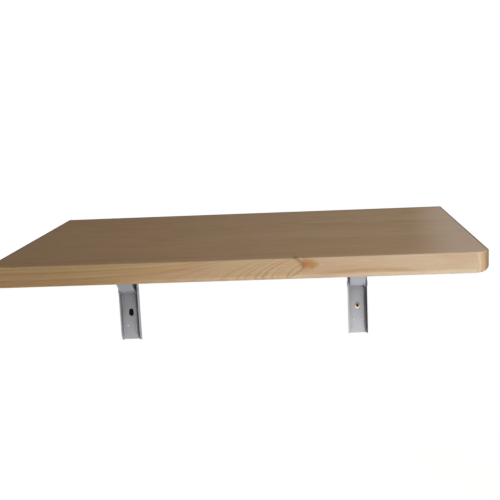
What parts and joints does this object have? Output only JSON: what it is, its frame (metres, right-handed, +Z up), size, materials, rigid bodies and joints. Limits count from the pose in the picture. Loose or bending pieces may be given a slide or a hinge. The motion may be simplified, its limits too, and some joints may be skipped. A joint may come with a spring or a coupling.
{
  "type": "wall-mounted folding desk",
  "caption": "Wall-mounted desk: a rounded pine board on folding steel brackets whose sliding struts brace it level and let it fold down flat against the wall.",
  "frame": {"origin": "on the wall face, midway between the upper round wall holes of the two rails", "axes": "+X to the right along the board, +Y into the wall, +Z up"},
  "size_m": [0.6, 0.4356, 0.2035],
  "materials": {
    "pine_board": "clear satin lacquer",
    "grey_steel": "powder coat",
    "zinc_steel": "zinc plated",
    "spring_steel": "tempered",
    "white_nylon": "moulded",
    "grey_nylon": "moulded",
    "black_nylon": "moulded",
    "yellow_zinc": "yellow passivated",
    "black_screw": "black phosphate"
  },
  "bodies": {
    "wall_rails": {"wall_rail_left": "grey_steel", "arm_pivot_pin_left": "zinc_steel", "arm_pivot_washers_left": "white_nylon", "strut_pivot_pin_left": "grey_steel", "strut_washers_left": "grey_nylon", "wall_screw_left": "black_screw", "wall_plug_left": "black_nylon", "wall_rail_right": "grey_steel", "arm_pivot_pin_right": "zinc_steel", "arm_pivot_washers_right": "white_nylon", "strut_pivot_pin_right": "grey_steel", "strut_washers_right": "grey_nylon", "wall_screw_right": "yellow_zinc", "wall_plug_right": "white_nylon"},
    "desk": {"tabletop": "pine_board", "bracket_arm_left": "grey_steel", "arm_screws_left": "zinc_steel", "latch_rivets_left": "zinc_steel", "bracket_arm_right": "grey_steel", "arm_screws_right": "zinc_steel", "latch_rivets_right": "zinc_steel"},
    "strut_left": {"strut_left": "grey_steel", "slide_pin_left": "zinc_steel", "slide_bushes_left": "white_nylon", "slide_pin_clip_left": "spring_steel"},
    "strut_right": {"strut_right": "grey_steel", "slide_pin_right": "zinc_steel", "slide_bushes_right": "white_nylon", "slide_pin_clip_right": "spring_steel"},
    "latch_left": {"latch_spring_left": "spring_steel"},
    "latch_right": {"latch_spring_right": "spring_steel"}
  },
  "joints": [
    {"name": "fold", "type": "hinge", "parent": "wall_rails", "child": "desk", "pos_m": [0, -0.012, 0.033], "axis": [1, 0, 0], "range_deg": [0, 90], "deforming": ["latch_spring_left", "latch_spring_right"]},
    {"name": "strut_left_swing", "type": "hinge", "parent": "wall_rails", "child": "strut_left", "pos_m": [-0.1865, -0.012, -0.036], "axis": [1, 0, 0], "range_deg": [0, 125]},
    {"name": "strut_right_swing", "type": "hinge", "parent": "wall_rails", "child": "strut_right", "pos_m": [0.1865, -0.012, -0.036], "axis": [1, 0, 0], "range_deg": [0, 125]},
    {"name": "latch_left_release", "type": "hinge", "parent": "desk", "child": "latch_left", "pos_m": [-0.2051, -0.10696, 0.02534], "axis": [0, -0.9339, -0.3576], "range_deg": [0, 9], "stiffness_Nm_per_rad": 1},
    {"name": "latch_right_release", "type": "hinge", "parent": "desk", "child": "latch_right", "pos_m": [0.2051, -0.10696, 0.02534], "axis": [0, 0.9339, 0.3576], "range_deg": [0, 9], "stiffness_Nm_per_rad": 1}
  ],
  "couplings": [
    {"joint": "strut_left_swing", "follows": "fold", "ratio": 1.3889},
    {"joint": "strut_right_swing", "follows": "fold", "ratio": 1.3889}
  ]
}
